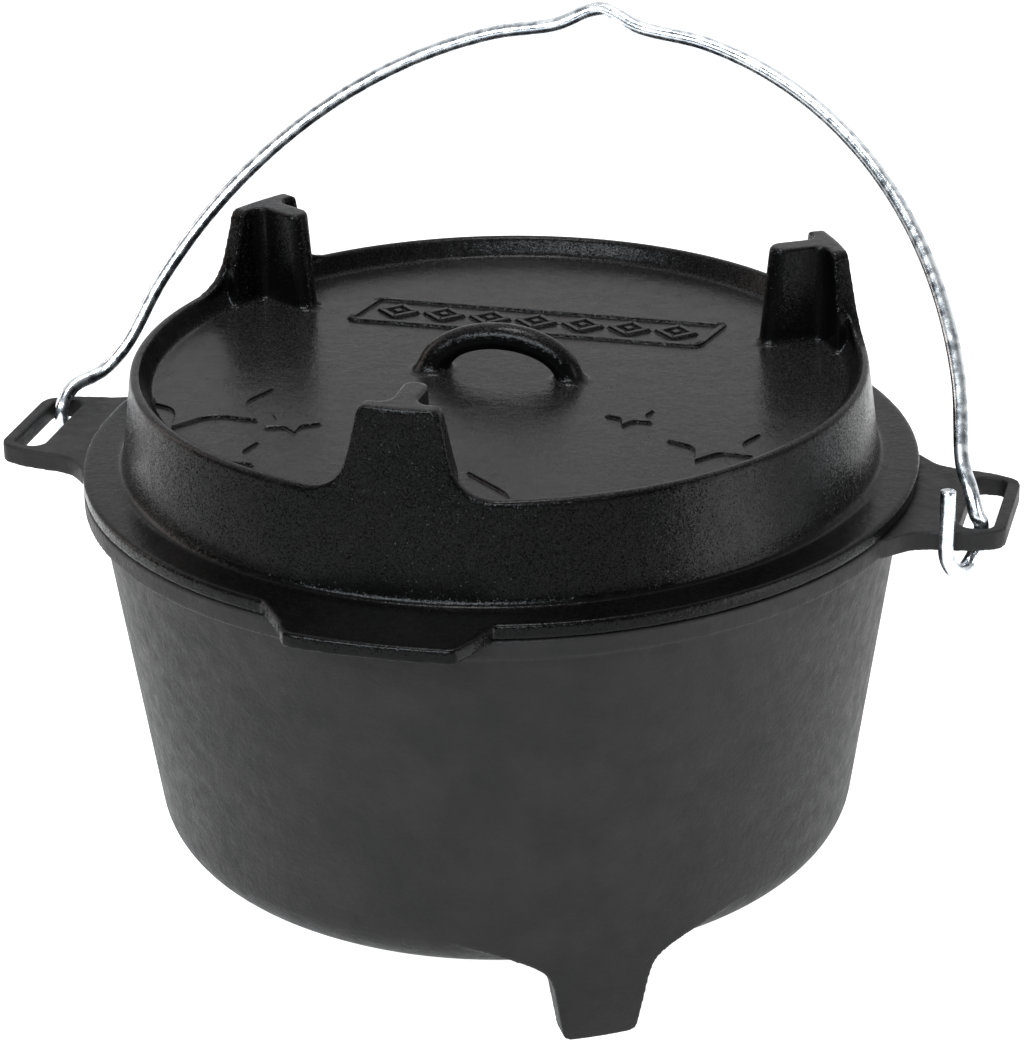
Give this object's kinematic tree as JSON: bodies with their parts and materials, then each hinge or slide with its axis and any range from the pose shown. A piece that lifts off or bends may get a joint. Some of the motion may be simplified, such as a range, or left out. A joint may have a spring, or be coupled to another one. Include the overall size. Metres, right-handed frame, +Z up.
{
  "type": "cast iron dutch oven",
  "caption": "Footed round cast iron pot with slotted ears, a recessed lid with stand legs and a loop handle, and a wire bail.",
  "frame": {"origin": "centre of the pot's flat underside, between the three feet", "axes": "+X runs to the right ear, -Y to the lid's front pull tab, +Z up along the pot's axis"},
  "size_m": [0.394, 0.3392, 0.3287],
  "materials": {
    "pot_iron": "matte seasoned cast iron with a fine sand-cast texture",
    "lid_iron": "satin seasoned cast iron with a fine pebbled texture",
    "zinc_wire": "bright zinc-plated steel wire with bluish streaks"
  },
  "bodies": {
    "pot": {"pot": "pot_iron"},
    "lid": {"lid": "lid_iron", "loop_handle": "lid_iron"},
    "bail": {"bail": "zinc_wire"}
  },
  "joints": [
    {"name": "lid_lift", "type": "slide", "parent": "pot", "child": "lid", "axis": [0, 0, 1], "range_m": [0, 0.032]},
    {"name": "bail_swing", "type": "hinge", "parent": "pot", "child": "bail", "pos_m": [0, 0, 0.14525], "axis": [0.9899, -0.1416, 0], "range_deg": [-25, 85]}
  ]
}
